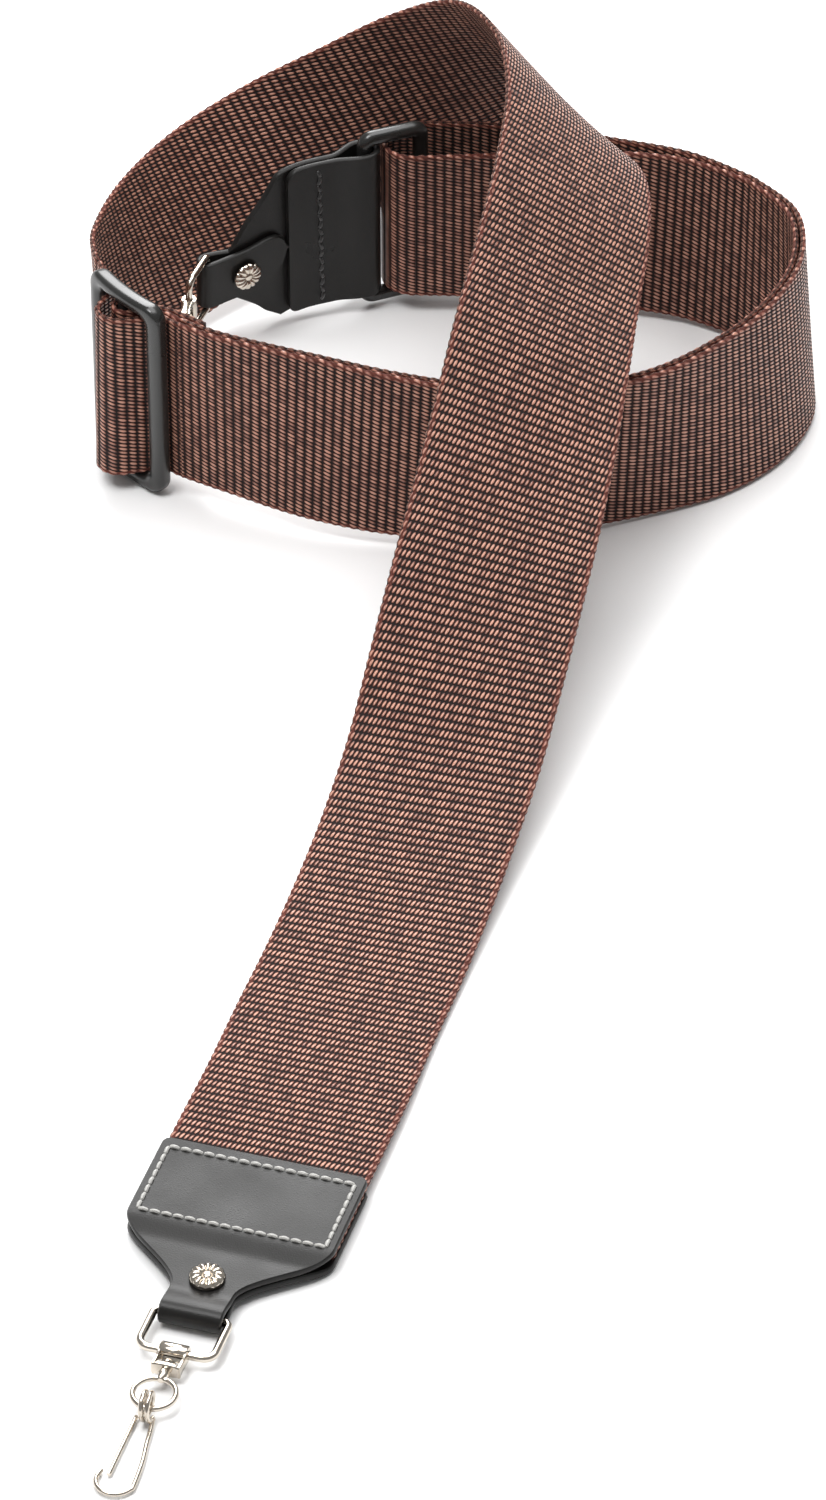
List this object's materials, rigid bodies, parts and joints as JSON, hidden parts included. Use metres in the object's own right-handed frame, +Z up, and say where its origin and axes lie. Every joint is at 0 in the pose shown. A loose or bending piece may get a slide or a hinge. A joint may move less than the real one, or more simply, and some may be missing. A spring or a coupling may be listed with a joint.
{
  "type": "two-hook woven shoulder strap",
  "caption": "Woven shoulder strap lying as a standing loop, with leather ends, wire D-rings, swivel snap hooks, a three-bar slider and a rectangular loop.",
  "frame": {"origin": "centre of the object's bounding box in plan, on the surface it lies on", "axes": "+Z up, +X to the right and -Y towards the front leather end, seen from the front"},
  "size_m": [0.2006, 0.5091, 0.1031],
  "materials": {
    "webbing": "brown coarse-ribbed woven synthetic webbing",
    "thread": "black sewing thread",
    "leather": "smooth black leather, satin",
    "moulding": "black injection-moulded plastic, satin",
    "nickel": "bright nickel plate"
  },
  "bodies": {
    "strap": {"webbing_tail_1": "webbing", "webbing_tail_2": "webbing", "webbing_tail_3": "webbing", "webbing_arch_1": "webbing", "webbing_arch_2": "webbing", "webbing_descent_1": "webbing", "webbing_descent_2": "webbing", "webbing_descent_3": "webbing", "webbing_descent_4": "webbing", "webbing_before_slider": "webbing", "webbing_outer_by_slider": "webbing", "webbing_outer_front": "webbing", "webbing_outer_bend_1": "webbing", "webbing_outer_bend_2": "webbing", "webbing_outer_rear": "webbing", "webbing_loop_turn": "webbing", "webbing_inner_rear": "webbing", "webbing_inner_bend_1": "webbing", "webbing_inner_bend_2": "webbing", "webbing_inner_front": "webbing", "webbing_inner_by_slider": "webbing", "box_stitching_front": "thread", "stitch_row_rear": "thread", "leather_end_front": "leather", "leather_end_rear": "leather", "rivet_front": "nickel", "rivet_rear": "nickel"},
    "slider": {"slider": "moulding", "webbing_slider_pass": "webbing", "webbing_sewn_end": "webbing", "bar_tack": "thread"},
    "rear_loop": {"rectangular_loop": "moulding"},
    "d_ring_front": {"d_ring_front": "nickel"},
    "clamp_front": {"swivel_clamp_front": "nickel"},
    "eye_front": {"swivel_eye_front": "nickel"},
    "hook_front": {"hook_front": "nickel"},
    "gate_front": {"gate_front": "nickel"},
    "d_ring_rear": {"d_ring_rear": "nickel"},
    "clamp_rear": {"swivel_clamp_rear": "nickel"},
    "eye_rear": {"swivel_eye_rear": "nickel"},
    "hook_rear": {"hook_rear": "nickel"},
    "gate_rear": {"gate_rear": "nickel"}
  },
  "joints": [
    {"name": "slider_travel", "type": "hinge", "parent": "strap", "child": "slider", "pos_m": [-0.0355, 0.1862, 0], "axis": [0, 0, 1], "range_deg": [-3, 12], "deforming": ["webbing_before_slider", "webbing_outer_by_slider", "webbing_inner_by_slider"]},
    {"name": "rear_loop_swing", "type": "hinge", "parent": "strap", "child": "rear_loop", "pos_m": [-0.0255, 0.2232, 0.0308], "axis": [0, -0.1191, 0.9929], "range_deg": [-16, 14]},
    {"name": "d_ring_front_swing", "type": "hinge", "parent": "strap", "child": "d_ring_front", "pos_m": [-0.0628, -0.19804, 0.0031], "axis": [-0.9555, 0.2951, 0], "range_deg": [-10, 95]},
    {"name": "clamp_front_swing", "type": "hinge", "parent": "d_ring_front", "child": "clamp_front", "pos_m": [-0.06664, -0.21046, 0.0031], "axis": [-0.9555, 0.2951, 0], "range_deg": [-10, 45]},
    {"name": "swivel_front_spin", "type": "hinge", "parent": "clamp_front", "child": "eye_front", "pos_m": [-0.0628, -0.19804, 0.0031], "axis": [-0.2951, -0.9555, 0], "continuous": true},
    {"name": "hook_front_swing", "type": "hinge", "parent": "eye_front", "child": "hook_front", "pos_m": [-0.0723, -0.2288, 0.0038], "axis": [-0.9555, 0.2951, 0], "range_deg": [-10, 60]},
    {"name": "gate_front_press", "type": "hinge", "parent": "hook_front", "child": "gate_front", "pos_m": [-0.07474, -0.22889, 0.0006], "axis": [0, 0, 1], "range_deg": [0, 12], "stiffness_Nm_per_rad": 0.15, "springref_deg": -5.73},
    {"name": "d_ring_rear_swing", "type": "hinge", "parent": "strap", "child": "d_ring_rear", "pos_m": [-0.06938, 0.20207, 0.0238], "axis": [-0.0114, 0.112, -0.9936], "range_deg": [-50, 8]},
    {"name": "clamp_rear_swing", "type": "hinge", "parent": "d_ring_rear", "child": "clamp_rear", "pos_m": [-0.07422, 0.19007, 0.0225], "axis": [-0.0114, 0.112, -0.9936], "range_deg": [-40, 8]},
    {"name": "swivel_rear_spin", "type": "hinge", "parent": "clamp_rear", "child": "eye_rear", "pos_m": [-0.07244, 0.20287, 0.02393], "axis": [-0.1373, -0.9845, -0.1094], "range_deg": [-15, 100]},
    {"name": "hook_rear_swing", "type": "hinge", "parent": "eye_rear", "child": "hook_rear", "pos_m": [-0.07685, 0.17109, 0.0211], "axis": [0.9905, -0.1352, -0.0266], "range_deg": [-60, 2]},
    {"name": "gate_rear_press", "type": "hinge", "parent": "hook_rear", "child": "gate_rear", "pos_m": [-0.07898, 0.17306, 0.01831], "axis": [-0.0755, -0.6944, 0.7156], "range_deg": [0, 12], "stiffness_Nm_per_rad": 0.15, "springref_deg": -5.73}
  ]
}
